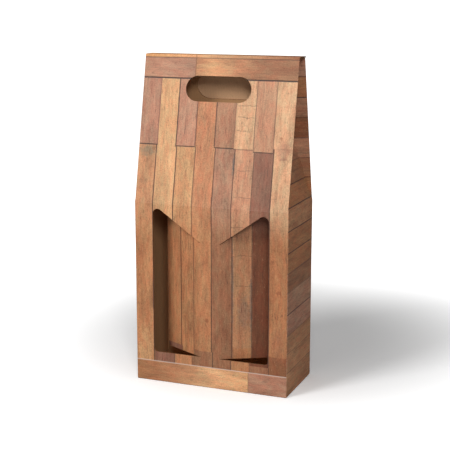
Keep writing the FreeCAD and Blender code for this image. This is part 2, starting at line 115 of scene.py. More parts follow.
# How dark each of those seams is
UPPER_DARK = (0.3, 0.95, 0.6, 0.75, 0.3, 0.5, 0.45)
LOWER_DARK = (0.85, 0.95, 0.6, 0.7, 0.65, 0.6, 0.65)
FOOT_DARK = (0.7, 0.3, 0.3, 0.75, 0.25, 0.3, 0.5)
BAND_DARK = (0.3,)
# The tones of the planks from left to right
UPPER_TONES = ("plum", "golden", "rose", "chestnut", "umber", "sand", "copper", "sand")
HIGH_TONES = ("amber", "golden", "honey", "chestnut", "mauve", "copper", "wine", "sand")
LOW_TONES = ("ginger", "ginger", "ginger", "ginger", "walnut", "oak", "rust", "tawny")
FOOT_TONES = ("ginger", "wine", "ginger", "walnut", "walnut", "ginger", "walnut", "cocoa")
# How high the foot's planks reach, where they end
FOOT_ENDS = (0, 41, 0, 42, 0, 47, 32, 45)
# The level planks of the front are the band at the foot, the head above the hand hole and the crown on the
# top flap: their limits, the seam in the head, and how their tones run from the left edge (0) to the right
# edge (1), each with the number that shifts its grain
BAND_TOP = 23.9
HEAD_BASE = 344.6
# The second height is where a grey line of painted shade runs along the fold below the top flap's print.
CROWN_BASE, CROWN_FOLD_SHADE = 367.3, 367.0
HEAD_SEAMS = (-28.0,)
HEAD_DARK = (0.35,)
BAND_FADE = ((0.0, "tawny", 0.5), (0.28, "oak", 0.5), (0.5, "wheat", 0.5), (0.7, "golden", 0.5),
             (0.75, "golden", 0.5), (0.752, "rose", 0.9), (1.0, "plum", 0.9))
HEAD_FADE = ((0.0, "mauve", 0.2), (0.34, "plum", 0.2), (0.345, "oak", 0.7), (0.45, "honey", 0.7),
             (0.6, "oak", 0.7), (0.8, "walnut", 0.7), (1.0, "walnut", 0.7))
CROWN_FADE = ((0.0, "apricot", 0.6), (0.4, "golden", 0.6), (0.7, "oak", 0.6), (1.0, "cocoa", 0.6))
# Between these heights the low tones give way to the high ones
TONE_CHANGE = (165.0, 212.0)
# The sheet's height in the ramps, a little over its real one, and the half width of a seam in seam widths
SHEET_TALL = 400.0
LINE_SHARE = 0.85
# Where the upper planks end, plank by plank, and how cracked each plank is
UPPER_ENDS = (270.9, 268.6, 270.4, 272, 270.6, 270.1, 267.9, 272.3)
UPPER_END_DARK = (0.9, 0.0, 0.9, 0.0, 0.8, 0.45, 0.7, 0.15)
# How far up the thin cracks across the planks lie, and which planks have them
CROSS_CRACKS = (118, 152, 186, 219, 247.5, 290, 304.7, 317)
CRACKED = (0, 0, 0, 0.15, 0, 1, 0, 0.25)
# Stains and bleached spots on the front: centre, half sizes, tone and strength
STAINS = (
    (-79, 264, 11, 7, "driftwood", 0.85),
    (-79, 34, 10, 34, "honey", 0.8),
    (-82, 120, 14, 50, "tawny", 0.5),
    (24, 254, 1.6, 13, "weathered", 0.8),
    (38, 88, 8, 22, "weathered", 0.3),
    (45.5, 96, 1.8, 46, "weathered", 0.5),
    (25, 120, 1.8, 60, "weathered", 0.4),
    (79, 271, 9, 11, "mauve", 0.75),
    (58, 236, 9, 20, "wine", 0.4),
    (79, 60, 10, 26, "walnut", 0.5),
    (-12, 330, 8, 12, "honey", 0.5),
    (-4, 78, 2.2, 3.4, "cocoa", 0.8),
    (80, 118, 3.2, 2.4, "cocoa", 0.8),
    (80, 66, 2.4, 4, "walnut", 0.8),
    (76, 284, 2.5, 2, "cocoa", 0.6),
    (79, 262, 5, 2, "mauve", 0.9),
)
# The level planks of the ends, from the base up
END_SEAMS = (5.2, 28, 49.6, 70.2, 94, 118.3, 139.2, 161.7, 185.4, 210.2, 233, 256, 279, 302, 325, 348)
END_DARK = (0.2, 0.35, 0.3, 0.35, 0.8, 0.35, 0.4, 0.8, 0.75, 0.8, 0.7, 0.4, 0.6, 0.35, 0.7, 0.6)
END_TONES = ("oak", "oak", "oak", "oak", "plum", "mauve", "walnut", "tawny", "tawny", "oak", "tawny",
             "walnut", "umber", "cocoa", "umber", "tawny", "plum")

# The shoulder's height, half the depth of the flat top, and the board
SHOULDER = 0.206
TOP_HALF_DEPTH = 0.0095
BOARD = 0.0015

# Behind the box, the point where the floor's added white is least, so that the floor round it shows painted
# shade on top of its real shadow, and how far from there its white begins and is full
PAINTED_SHADE_CENTRE = (0, 0.16, 0)
WHITE_FROM, WHITE_FULL = 0.1, 0.48
# Each lamp's way from the box, its distance and its width, and the setting that holds its power
LAMPS = {
    "key": ((-0.42, -0.75, 0.62), 1.9, 0.6, "key_power"),
    "fill": ((0.38, -0.82, 0.46), 2.2, 0.6, "fill_power"),
}
# The middle of the box, which the lamps face
LAMP_AIM = (0, 0, 0.2)
# The sweep's front edge, where it starts to bend up, the bend's radius, and its height and width
SWEEP_FRONT, SWEEP_BEND, SWEEP_RADIUS, SWEEP_HEIGHT, SWEEP_WIDTH = -3.0, 2.2, 1.2, 3.5, 8

# The room round the handle flap in the solids, and what a knife leaves
CUT_GAP = 0.0004
KNIFE_GAP = 0.00003


def linear(red, green, blue):
    """A screen colour of 0 to 255 as the linear values that the shaders use."""
    parts = [value / 255 for value in (red, green, blue)]
    return tuple(p / 12.92 if p <= 0.04045 else ((p + 0.055) / 1.055) ** 2.4 for p in parts)


def colour(name, text, *screen):
    return FloatVectorProperty(name=name, description=text, subtype="COLOR", size=3, min=0, max=1,
                               default=linear(*screen))


def length(name, text, metres):
    return FloatProperty(name=name, description=text, subtype="DISTANCE", unit="LENGTH", precision=5,
                         default=metres)


def share(name, text, value, most=1.0):
    return FloatProperty(name=name, description=text, subtype="FACTOR", min=0, max=most, default=value)


class PlankPrint(bpy.types.PropertyGroup):
    """The colours of the printed planks and of the lines between them."""

    plum: colour("Plum", "Purple brown upper plank", 181, 134, 113)
    golden: colour("Golden", "Palest yellow plank", 221, 172, 130)
    rose: colour("Rose", "Pinkish brown plank", 194, 143, 120)
    chestnut: colour("Chestnut", "Warm middle brown plank", 200, 140, 105)
    umber: colour("Umber", "Plain middle brown plank", 182, 133, 107)
    sand: colour("Sand", "Pale dry plank with cracks", 214, 170, 136)
    copper: colour("Copper", "Light reddish plank", 200, 149, 121)
    honey: colour("Honey", "Yellow brown plank", 214, 162, 120)
    amber: colour("Amber", "Orange brown plank", 198, 147, 111)
    mauve: colour("Mauve", "Greyish purple plank", 180, 135, 112)
    wine: colour("Wine", "Dark purple plank", 150, 105, 88)
    walnut: colour("Walnut", "Dark brown plank", 162, 114, 86)
    rust: colour("Rust", "Darkest red plank", 128, 78, 56)
    ginger: colour("Ginger", "Strong orange plank", 190, 133, 95)
    tawny: colour("Tawny", "Middle orange plank", 176, 121, 85)
    oak: colour("Oak", "Light brown end plank", 187, 135, 101)
    driftwood: colour("Driftwood", "Grey weathered plank", 158, 134, 110)
    cocoa: colour("Cocoa", "Dark orange brown plank", 150, 97, 68)
    wheat: colour("Wheat", "Palest level plank at the foot", 232, 182, 140)
    apricot: colour("Apricot", "Bright orange plank on the top flap", 224, 158, 104)
    seam: colour("Seam", "Dark gap between two planks", 36, 34, 37)
    speck: colour("Speck", "Short dark dashes in the grain", 92, 52, 36)
    weathered: colour("Weathered", "Blue grey of bleached wood", 122, 116, 112)
    pale_line: colour("Pale line", "Thin light line above the foot plank", 238, 224, 212)
    grain: share("Grain", "How strongly the wood grain shows", 0.75, 2)
    grain_pitch: length("Grain pitch", "Distance between the streaks of the grain", 0.0011)
    seam_width: length("Seam width", "Width of a printed gap", 0.0011)


class BoardFinish(bpy.types.PropertyGroup):
    """The unprinted side and the cut edges of the board."""

    kraft: colour("Kraft", "Brown paper inside the box", 196, 149, 106)
    # Painted light: a paler copy of the same kraft, given to the inside of the handle flap so that it looks
    # lit.
    kraft_lit: colour("Lit kraft", "Paler brown paper on the inside of the handle flap", 228, 182, 140)
    kraft_fibre: colour("Kraft fibre", "Dark fibres and specks in the paper", 116, 84, 56)
    cut_edge: colour("Cut edge", "Liner of the board where it is cut", 176, 128, 88)
    flute_gap: colour("Flute gap", "Shade between the waves of a cut edge", 84, 56, 36)
    flute_pitch: length("Flute pitch", "Distance between two waves inside the board", 0.0033)
    crease_wear: share("Crease wear", "How much the print has rubbed off along the folds", 0.35)


class StageLook(bpy.types.PropertyGroup):
    """Camera, lamps and floor."""

    azimuth: FloatProperty(name="Azimuth", description="Camera's turn about the box", subtype="ANGLE",
                           default=math.radians(21.4848))
    elevation: FloatProperty(name="Elevation", description="Camera's height angle", subtype="ANGLE",
                             default=math.radians(11.9714))
    distance: length("Distance", "From the camera to the point it looks at", 1.25332)
    aim: FloatVectorProperty(name="Aim", description="Point that the camera looks at", size=3,
                             subtype="TRANSLATION", unit="LENGTH", default=(0.00105, 0.0, 0.17810))
    lens: FloatProperty(name="Lens", description="Focal length in millimetres", subtype="DISTANCE_CAMERA",
                        default=89.475)
    sky: share("Sky", "Light that comes from all round", 0.29, 2)
    key_power: FloatProperty(name="Key power", description="Watts of the lamp at the front left",
                             unit="POWER", default=17)
    fill_power: FloatProperty(name="Fill power", description="Watts of the lamp at the front right",
                              unit="POWER", default=15.5)
    floor: colour("Floor", "Colour of the floor and backdrop to the eye", 250, 250, 250)
    bounce: colour("Bounce", "Colour of the floor as it lights the box from below", 172, 172, 172)
    # The low added white near the box leaves painted shade on the floor round it.
    near_glow: share("Near glow", "White that the camera sees added to the floor behind the box", 0.04)


class Recipe:
    """One material and the short calls that add its nodes."""

    def __init__(self, name):
        self.material = bpy.data.materials.new(name)
        self.material.use_nodes = True
        self.tree = self.material.node_tree
        self.tree.nodes.clear()

    def add(self, kind, inputs, **settings):
        node = self.tree.nodes.new("ShaderNode" + kind)
        for key, value in settings.items():
            setattr(node, key, value)
        for socket, value in inputs.items():
            if isinstance(value, bpy.types.NodeSocket):
                self.tree.links.new(value, node.inputs[socket])
            else:
                node.inputs[socket].default_value = value
        return node

    def math(self, operation, *values, clamp=False):
        return self.add("Math", dict(enumerate(values)), operation=operation, use_clamp=clamp).outputs[0]

    def blend(self, factor, first, second, kind="MIX"):
        first, second = [(*v, 1.0) if isinstance(v, tuple) and len(v) == 3 else v for v in (first, second)]
        mix = self.add("Mix", {0: factor, 6: first, 7: second}, data_type="RGBA", blend_type=kind)
        return mix.outputs[2]

    def between(self, factor, first, second):
        return self.add("Mix", {0: factor, 2: first, 3: second}, data_type="FLOAT").outputs[0]

    def spot(self, x, y, z=0.0):
        return self.add("CombineXYZ", {0: x, 1: y, 2: z}).outputs[0]

    def noise(self, place, scale, detail=3.0, roughness=0.5, distortion=0.0):
        inputs = {"Vector": place, "Scale": scale, "Detail": detail, "Roughness": roughness,
                  "Distortion": distortion}
        return self.add("TexNoise", inputs).outputs[0]

    def ramp(self, value, stops, interpolation="LINEAR"):
        """Stops are (place, colour or number, optional fourth channel)."""
        node = self.add("ValToRGB", {0: value})
        band = node.color_ramp
        band.interpolation = interpolation
        for index, (place, shade, *extra) in enumerate(stops):
            step = band.elements[index] if index < 2 else band.elements.new(place)
            step.position = place
            rgb = tuple(shade) if hasattr(shade, "__len__") else (shade, shade, shade)
            step.color = (*rgb, extra[0] if extra else 1.0)
        return node.outputs[0], node.outputs[1]

    def step(self, value, low, high):
        """0 below low, 1 above high, and a smooth way between them."""
        inputs = {0: value, 1: low, 2: high, 3: 0.0, 4: 1.0}
        return self.add("MapRange", inputs, interpolation_type="SMOOTHSTEP").outputs[0]

    def lines(self, value, low, high, centres, heights, half):
        """A narrow peak at each centre. The ramp holds the nearest centre and how tall its peak is."""
        span = high - low
        starts = [low] + [(first + second) / 2 for first, second in zip(centres, centres[1:])] + [high]
        stops = [((begin - low) / span, ((centre - low) / span, tall, 0.0))
                 for begin, centre, tall in zip(starts, [*centres, centres[-1]], [*heights, heights[-1]])]
        place = self.math("DIVIDE", self.math("SUBTRACT", value, low), span, clamp=True)
        nearest = self.add("SeparateXYZ", {0: self.ramp(place, stops, "CONSTANT")[0]})
        peak = self.peak(self.away(place, nearest.outputs[0]), half / span)
        return self.math("MULTIPLY", peak, nearest.outputs[1])

    def away(self, value, centre):
        return self.math("ABSOLUTE", self.math("SUBTRACT", value, centre))

    def peak(self, distance, half, tall=1.0):
        """Tall at no distance, and less by one for each half."""
        return self.math("SUBTRACT", tall, self.math("DIVIDE", distance, half), clamp=True)

    def swing(self, pattern, amount):
        """A pattern of 0 to 1, turned into one that goes as far below zero as above it."""
        return self.math("MULTIPLY", self.math("SUBTRACT", pattern, 0.5), amount)

    def finish(self, tint, roughness, height, depth, specular=0.4):
        bump = self.add("Bump", {"Strength": 1.0, "Distance": depth, "Height": height})
        shader = self.add("BsdfPrincipled", {"Base Color": tint, "Roughness": roughness,
                                             "Specular IOR Level": specular, "Normal": bump.outputs[0]})
        self.tree.links.new(shader.outputs[0], self.add("OutputMaterial", {}).inputs[0])
        return self.material


def map_in_mm(recipe, name):
    """The named map's two coordinates, in millimetres."""
    place = recipe.add("UVMap", {}, uv_map=name).outputs[0]
    scaled = recipe.add("VectorMath", {0: place, "Scale": 1000.0}, operation="SCALE").outputs[0]
    parts = recipe.add("SeparateXYZ", {0: scaled})
    return scaled, parts.outputs[0], parts.outputs[1]


class PlankRecipe(Recipe):
    """The planks' print: where a point lies on the flat sheet, and in which row of planks."""

    def __init__(self):
        super().__init__("plank_print")
        self.look = bpy.context.scene.bottle_print
        self.half = 1000 * HALF_WIDTH
        self.line = 1000 * self.look.seam_width * LINE_SHARE
        around_half = self.half + 1000 * HALF_DEPTH
        self.sheet, self.across, self.up = map_in_mm(self, SHEET_MAP)
        # The lines between planks wander a little
        self.slow = self.math("SUBTRACT", self.noise(self.sheet, 0.03, 3), 0.5)
        quick = self.math("SUBTRACT", self.noise(self.sheet, 0.45, 2), 0.5)
        wander = self.math("ADD", self.math("MULTIPLY", self.slow, 0.7), self.math("MULTIPLY", quick, 0.35))
        self.folded = self.math("WRAP", self.across, -around_half, around_half)
        self.u = self.math("ADD", self.folded, wander)
        self.v = self.math("ADD", self.up, wander)
        self.place = self.math("DIVIDE", self.math("ADD", self.u, self.half), 2 * self.half, clamp=True)
        # The rows of planks
        self.on_end = self.math("GREATER_THAN", self.math("ABSOLUTE", self.folded), self.half)
        self.end_of_upper = self.amounts(UPPER_SEAMS, UPPER_ENDS, SHEET_TALL)
        self.in_upper = self.math("GREATER_THAN", self.v, self.end_of_upper)
        self.in_foot = self.math("LESS_THAN", self.v, self.amounts(FOOT_SEAMS, FOOT_ENDS, SHEET_TALL))
        self.in_band = self.math("LESS_THAN", self.up, BAND_TOP)
        self.in_head = self.math("GREATER_THAN", self.v, HEAD_BASE)
        self.in_crown = self.math("GREATER_THAN", self.up, CROWN_BASE)
        self.level = self.math("MAXIMUM", self.on_end, self.math("MAXIMUM", self.in_band, self.in_head))

    def spans(self, seams):
        """Where each plank of a row starts, from 0 at the left to 1 at the right."""
        return [0.0] + [(seam + self.half) / (2 * self.half) for seam in seams]

    def tones(self, seams, names):
        """Each plank's tone, and a number of its own that shifts its grain."""
        stops = [(spot, getattr(self.look, name), (0.37 * index + 0.13) % 1)
                 for index, (spot, name) in enumerate(zip(self.spans(seams), names))]
        return self.ramp(self.place, stops, "CONSTANT")

    def amounts(self, seams, values, scale=1.0):
        """One value for each plank of a row."""
        stops = [(spot, value / scale) for spot, value in zip(self.spans(seams), values)]
        return self.math("MULTIPLY", self.ramp(self.place, stops, "CONSTANT")[0], scale)

    def fade(self, stops):
        """Tones that run into each other along a level plank."""
        stops = [(spot, getattr(self.look, name), number) for spot, name, number in stops]
        return self.ramp(self.place, stops)

    def end_tones(self):
        """The level planks of the two ends."""
        spots = [0.0] + [seam / SHEET_TALL for seam in END_SEAMS]
        numbers = [0.4] + [(0.41 * index + 0.2) % 1 for index in range(len(END_SEAMS))]
        stops = [(spot, getattr(self.look, name), number)
                 for spot, name, number in zip(spots, END_TONES, numbers)]
        return self.ramp(self.math("DIVIDE", self.v, SHEET_TALL, clamp=True), stops, "CONSTANT")

    def overlay(self, wood, seed, *rows):
        """Puts rows of planks over what lies below them."""
        for inside, (tint, number) in rows:
            wood = self.blend(inside, wood, tint)
            seed = self.between(inside, seed, number)
        return wood, seed

    def stained(self, wood):
        """Stains and bleached spots, with ragged edges."""
        ragged = self.swing(self.noise(self.sheet, 0.25, 5, 0.7), 2.2)
        for mid_u, mid_v, wide, tall, tone_name, strength in STAINS:
            middle, shares = (mid_u, mid_v, 0), (1 / wide, 1 / tall, 0)
            away = self.add("VectorMath", {0: self.sheet, 1: middle}, operation="SUBTRACT").outputs[0]
            away = self.add("VectorMath", {0: away, 1: shares}, operation="MULTIPLY").outputs[0]
            away = self.add("VectorMath", {0: away}, operation="LENGTH").outputs["Value"]
            near = self.math("SUBTRACT", 1.0, self.step(self.math("ADD", away, ragged), 0.35, 1.15))
            wood = self.blend(self.math("MULTIPLY", near, strength), wood, getattr(self.look, tone_name)[:])
        return wood

    def plank_tones(self):
        """The wood's tone before its grain, and the number that shifts the grain."""
        high, seed = self.tones(LOWER_SEAMS, HIGH_TONES)
        low = self.tones(LOWER_SEAMS, LOW_TONES)[0]
        wood = self.blend(self.step(self.v, *TONE_CHANGE), low, high)
        wood, seed = self.overlay(wood, seed, (self.in_upper, self.tones(UPPER_SEAMS, UPPER_TONES)),
                                  (self.in_foot, self.tones(FOOT_SEAMS, FOOT_TONES)))
        return self.overlay(self.stained(wood), seed, (self.in_band, self.fade(BAND_FADE)),
                            (self.in_head, self.fade(HEAD_FADE)), (self.in_crown, self.fade(CROWN_FADE)),
                            (self.on_end, self.end_tones()))

    def seams(self):
        """How dark the gaps between the planks are, with a line of painted shade along the top flap's fold.
        """
        dark = self.lines(self.u, -self.half, self.half, LOWER_SEAMS, LOWER_DARK, self.line)
        for inside, seams, shades in ((self.in_upper, UPPER_SEAMS, UPPER_DARK),
                                      (self.in_foot, FOOT_SEAMS, FOOT_DARK),
                                      (self.in_band, BAND_SEAMS, BAND_DARK),
                                      (self.in_head, HEAD_SEAMS, HEAD_DARK)):
            row = self.lines(self.u, -self.half, self.half, seams, shades, self.line)
            dark = self.between(inside, dark, row)
        end_line = self.peak(self.away(self.v, self.end_of_upper), self.line)
        end_line = self.math("MULTIPLY", end_line, self.amounts(UPPER_SEAMS, UPPER_END_DARK))
        head_line = self.peak(self.away(self.v, HEAD_BASE), 1.1 * self.line, 1.1)
        # A grey line of painted shade along the fold below the top flap.
        crown_fold_shade = self.peak(self.away(self.up, CROWN_FOLD_SHADE), 1.6, 0.5)
        for across in (end_line, head_line, crown_fold_shade):
            dark = self.math("MAXIMUM", dark, across)
        end_dark = self.lines(self.v, 0.0, SHEET_TALL, END_SEAMS, END_DARK, self.line)
        return self.between(self.on_end, dark, end_dark)

    def lay_grain(self, seed):
        """The grain's own directions: along each plank and over it."""
        self.along = self.between(self.level, self.up, self.across)
        over = self.between(self.level, self.across, self.up)
        self.shift = self.math("MULTIPLY", seed, 400.0)
        self.over = self.math("ADD", over, self.math("MULTIPLY", self.slow, 5.0))

    def drawn_out(self, squeeze):
        """A place whose pattern is stretched along the grain."""
        return self.spot(self.over, self.math("MULTIPLY", self.along, squeeze), self.shift)

    def grained(self, wood):
        """Streaks, broad bands and mottle, and patches that lean towards red or yellow."""
        pitch = 1000 * self.look.grain_pitch
        streaks = self.noise(self.drawn_out(0.05), 0.55 / pitch, 6, 0.62, 0.3)
        broad = self.noise(self.drawn_out(0.28), 0.075, 4, 0.6, 0.8)
        mottle = self.noise(self.spot(self.across, self.up, self.shift), 0.7, 5, 0.8)
        tone = self.math("ADD", self.swing(streaks, 0.9), self.swing(broad, 1.5))
        tone = self.math("ADD", tone, self.swing(mottle, 1.8))
        gain = self.math("ADD", 1.0, self.math("MULTIPLY", tone, self.look.grain))
        wood = self.blend(1.0, wood, self.math("MAXIMUM", gain, 0.3), "MULTIPLY")
        patch = self.noise(self.drawn_out(0.35), 0.16, 3, 0.6, 0.5)
        redder = self.blend(1.0, wood, (1.05, 0.9, 0.8, 1.0), "MULTIPLY")
        yellower = self.blend(1.0, wood, (1.02, 1.06, 0.96, 1.0), "MULTIPLY")
        return self.blend(self.step(patch, 0.35, 0.65), redder, yellower), streaks, mottle

    def cracked(self, wood):
        """Cracks along the grain, and across it on the dry planks."""
        crack = self.noise(self.drawn_out(0.035), 0.21, 3, 0.55, 0.6)
        crack = self.peak(self.away(crack, 0.5), 0.012)
        open_here = self.noise(self.spot(self.across, self.up, self.shift), 0.06, 2)
        crack = self.math("MULTIPLY", crack, self.step(open_here, 0.5, 0.62))
        tilted = self.noise(self.spot(self.across, self.math("MULTIPLY", self.up, 0.3)), 0.07, 4, 0.6)
        tilted = self.math("ADD", self.v, self.swing(tilted, 6.0))
        cross = self.lines(tilted, 0.0, SHEET_TALL, CROSS_CRACKS, (0.8,) * len(CROSS_CRACKS), 0.7)
        broken = self.step(self.noise(self.spot(self.across, self.up), 0.13, 3, 0.6), 0.36, 0.5)
        broken = self.math("MULTIPLY", broken, self.amounts(LOWER_SEAMS, CRACKED))
        cross = self.between(self.level, self.math("MULTIPLY", cross, broken), 0.0)
        split = self.math("MAXIMUM", self.math("MULTIPLY", crack, 0.55), self.math("MULTIPLY", cross, 0.6))
        return self.blend(split, wood, self.look.seam[:])

    def flecked(self, wood):
        """Short dark dashes, and pale ones between them."""
        fleck = self.noise(self.drawn_out(0.2), 0.8, 3, 0.6)
        spots = self.step(fleck, 0.56, 0.72)
        wood = self.blend(self.math("MULTIPLY", spots, 0.42), wood, self.look.speck[:])
        worn = self.step(fleck, 0.4, 0.26)
        return self.blend(self.math("MULTIPLY", worn, 0.3), wood, self.look.wheat[:])

    def lined(self, wood):
        """Dark seams, uneven along their length, and the pale line above the foot plank."""
        uneven = self.between(self.noise(self.sheet, 0.2, 3), 1.0, 1.9)
        dark = self.math("MULTIPLY", self.seams(), uneven, clamp=True)
        wood = self.blend(self.math("MULTIPLY", dark, 0.9), wood, self.look.seam[:])
        on_front = self.math("SUBTRACT", 1.0, self.on_end)
        pale = self.math("MULTIPLY", self.peak(self.away(self.up, BAND_TOP), 0.8), on_front)
        pale = self.math("MULTIPLY", pale, self.math("MULTIPLY", uneven, 0.6))
        return self.blend(self.math("MULTIPLY", pale, 0.75), wood, self.look.pale_line[:]), dark

    def rubbed(self, wood):
        """Print that has rubbed off along the folds."""
        corner = self.peak(self.away(self.math("ABSOLUTE", self.folded), self.half), 0.9)
        shoulder = self.peak(self.away(self.up, 1000 * SHOULDER), 1.5, 0.3)
        worn = self.math("MAXIMUM", corner, shoulder)
        worn = self.math("MULTIPLY", worn, self.step(self.noise(self.sheet, 0.35, 4, 0.7), 0.42, 0.62))
        worn = self.math("MULTIPLY", worn, bpy.context.scene.bottle_board.crease_wear)
        return self.blend(worn, wood, self.look.pale_line[:])


def plank_print():
    """Weathered planks: upright on the front and back, level on the ends, top band and foot."""
    recipe = PlankRecipe()
    wood, seed = recipe.plank_tones()
    recipe.lay_grain(seed)
    wood, streaks, mottle = recipe.grained(wood)
    wood, dark = recipe.lined(recipe.flecked(recipe.cracked(wood)))
    wood = recipe.rubbed(wood)
    rough = recipe.between(mottle, 0.5, 0.68)
    height = recipe.math("SUBTRACT", recipe.math("ADD", streaks, recipe.math("MULTIPLY", mottle, 0.5)), dark)
    return recipe.finish(wood, rough, height, 0.00008)


def kraft_inside(name="kraft_inside", tint="kraft"):
    """Brown unprinted paper with fibres, and the faint ripple of the flutes behind it as a bump and as faint
    painted shade in its colour.
    """
    look = bpy.context.scene.bottle_board
    recipe = Recipe(name)
    sheet, across, up = map_in_mm(recipe, SHEET_MAP)
    fibres = recipe.noise(recipe.spot(across, recipe.math("MULTIPLY", up, 0.3)), 0.9, 5, 0.7)
    cloud = recipe.noise(sheet, 0.05, 3, 0.6)
    speck = recipe.step(recipe.noise(sheet, 1.3, 2, 0.6), 0.64, 0.74)
    ripple = recipe.math("SINE", recipe.math("MULTIPLY", across, math.tau / (1000 * look.flute_pitch)))
    gain = recipe.math("ADD", 0.8, recipe.math("MULTIPLY", fibres, 0.28))
    gain = recipe.math("ADD", gain, recipe.math("MULTIPLY", cloud, 0.12))
    # Painted shade: the flutes' ripple faintly lightens and darkens the colour, as grazing light would.
    gain = recipe.math("ADD", gain, recipe.math("MULTIPLY", ripple, 0.012))
    tint = recipe.blend(1.0, getattr(look, tint)[:], gain, "MULTIPLY")
    tint = recipe.blend(recipe.math("MULTIPLY", speck, 0.55), tint, look.kraft_fibre[:])
    rough = recipe.between(fibres, 0.78, 0.92)
    height = recipe.math("ADD", recipe.math("MULTIPLY", fibres, 0.6), recipe.math("MULTIPLY", ripple, 0.25))
    return recipe.finish(tint, rough, height, 0.0001, 0.25)


def cut_board():
    """A cut through the board: two liners with the wave of the fluting between them."""
    look = bpy.context.scene.bottle_board
    recipe = Recipe("cut_board")
    place, across, depth = map_in_mm(recipe, EDGE_MAP)
    thick = 1000 * BOARD
    wave = recipe.math("SINE", recipe.math("MULTIPLY", across, math.tau / (1000 * look.flute_pitch)))
    middle = recipe.math("ADD", thick / 2, recipe.math("MULTIPLY", wave, 0.36 * thick))
    on_wave = recipe.math("SUBTRACT", 1.0, recipe.step(recipe.away(depth, middle), 0.1, 0.26))
    from_face = recipe.math("MINIMUM", depth, recipe.math("SUBTRACT", thick, depth))
    liner = recipe.math("SUBTRACT", 1.0, recipe.step(from_face, 0.16, 0.3))
    paper = recipe.math("MAXIMUM", on_wave, liner)
    fibres = recipe.noise(place, 2.2, 3, 0.7)
    gain = recipe.math("ADD", 0.78, recipe.math("MULTIPLY", fibres, 0.4))
    tint = recipe.blend(recipe.math("MULTIPLY", paper, 0.8), look.flute_gap[:], look.cut_edge[:])
    tint = recipe.blend(1.0, tint, gain, "MULTIPLY")
    rough = recipe.between(fibres, 0.8, 0.95)
    return recipe.finish(tint, rough, recipe.math("ADD", paper, fibres), 0.00012, 0.2)


class SheetPanel:
    """A flat panel of the folded sheet: where it stands, and where it lies on the flat sheet."""

    def __init__(self, corner, across, up, at, reach):
        self.corner = Vector(corner)
        self.across, self.up = Vector(across).normalized(), Vector(up).normalized()
        self.out = self.across.cross(self.up).normalized()
        self.at, self.reach = at, reach

    def depth(self, point):
        """How far behind the printed face a point lies."""
        return (self.corner - point).dot(self.out)

    def off_faces(self, point):
        """How far a point lies from the nearer of the two faces."""
        return min(abs(self.depth(point)), abs(self.depth(point) - BOARD))

    def flat(self, point):
        """Where a point lies on the flat sheet."""
        away = point - self.corner
        return self.at[0] + away.dot(self.across), self.at[1] + away.dot(self.up)

    def holds(self, point):
        """Whether a point lies within the board of this panel, and within its reach to each side."""
        if not -NEAR_PLANE < self.depth(point) < BOARD + NEAR_PLANE:
            return False
        return all(low - EXTENT_MARGIN < place < high + EXTENT_MARGIN
                   for place, (low, high) in zip(self.flat(point), self.reach))


def carton_panels():
    """Every panel of the box, from the front round to the left end, then the folded-in gussets."""
    rise = HEIGHT - SHOULDER
    inset = HALF_DEPTH - TOP_HALF_DEPTH
    slant = math.hypot(rise, inset)
    top = SHOULDER + slant
    w, d = HALF_WIDTH, HALF_DEPTH
    lean = Vector((0, inset, rise))
    lean_back = Vector((0, -inset, rise))
    walls, slopes = (0, SHOULDER), (SHOULDER, top)
    panels = {
        "front": SheetPanel((0, -d, 0), X, Z, (0, 0), ((-w, w), walls)),
        "front_slope": SheetPanel((0, -d, SHOULDER), X, lean, (0, SHOULDER), ((-w, w), slopes)),
        "back": SheetPanel((0, d, 0), -X, Z, (2 * (w + d), 0), ((w + 2 * d, 3 * w + 2 * d), walls)),
        "back_slope": SheetPanel((0, d, SHOULDER), -X, lean_back, (2 * (w + d), SHOULDER),
                                 ((w + 2 * d, 3 * w + 2 * d), slopes)),
        "right": SheetPanel((w, -d, 0), Y, Z, (w, 0), ((w, w + 2 * d), walls)),
        "left": SheetPanel((-w, -d, 0), -Y, Z, (-w, 0), ((-w - 2 * d, -w), walls)),
        "base": SheetPanel((0, -d, 0), X, -Y, (0, 0), ((-w, w), (-2 * d, 0))),
    }
    # Each gusset's creases meet at a point, as far from the shoulder as the front's slope is long
    point_rise = rise - TOP_HALF_DEPTH * inset / rise
    point_in = math.sqrt(slant ** 2 - point_rise ** 2)
    for side, name in ((1, "right"), (-1, "left")):
        point = Vector((side * (w - point_in), 0, SHOULDER + point_rise))
        span = ((w, w + 2 * d) if side > 0 else (-w - 2 * d, -w))
        panels[name + "_gusset"] = SheetPanel((side * w, -d, SHOULDER), side * Y,
                                              point - Vector((side * w, 0, SHOULDER)),
                                              (side * w, SHOULDER), (span, slopes))
        for end in (-1, 1):
            corner = Vector((side * w, end * d, SHOULDER))
            tip = Vector((side * w, end * TOP_HALF_DEPTH, HEIGHT))
            across = (point - tip) * (1 if side * end < 0 else -1)
            start = side * (w if end < 0 else w + 2 * d)
            panels["%s_half_%d" % (name, end)] = SheetPanel(corner, across, tip - corner, (start, SHOULDER),
                                                            (span, slopes))
    return panels


def flap_panel(crease, turn, mark):
    """A window flap: the front panel's print, turned inwards about its crease."""
    turned = math.radians(turn) * mark
    across = Vector((math.cos(turned), math.sin(turned), 0))
    out = Vector((math.sin(turned), -math.cos(turned), 0))
    corner = Vector((crease[0], crease[1], 0)) + BOARD * out
    return SheetPanel(corner, across, Z, (crease[0], 0), ((-HALF_WIDTH, HALF_WIDTH), (0, SHOULDER)))


def panel_of(face, panels):
    """The panel that a face belongs to: one that holds it and that it lies flush with, if any does."""
    centre, out = face.calc_center_median(), face.normal
    found = [panel for panel in panels if panel.holds(centre)] or panels
    flush = [panel for panel in found if panel.off_faces(centre) < NEAR_PLANE
             and abs(panel.out.dot(out)) > FACING]
    return max(flush or found, key=lambda item: abs(item.out.dot(out)))


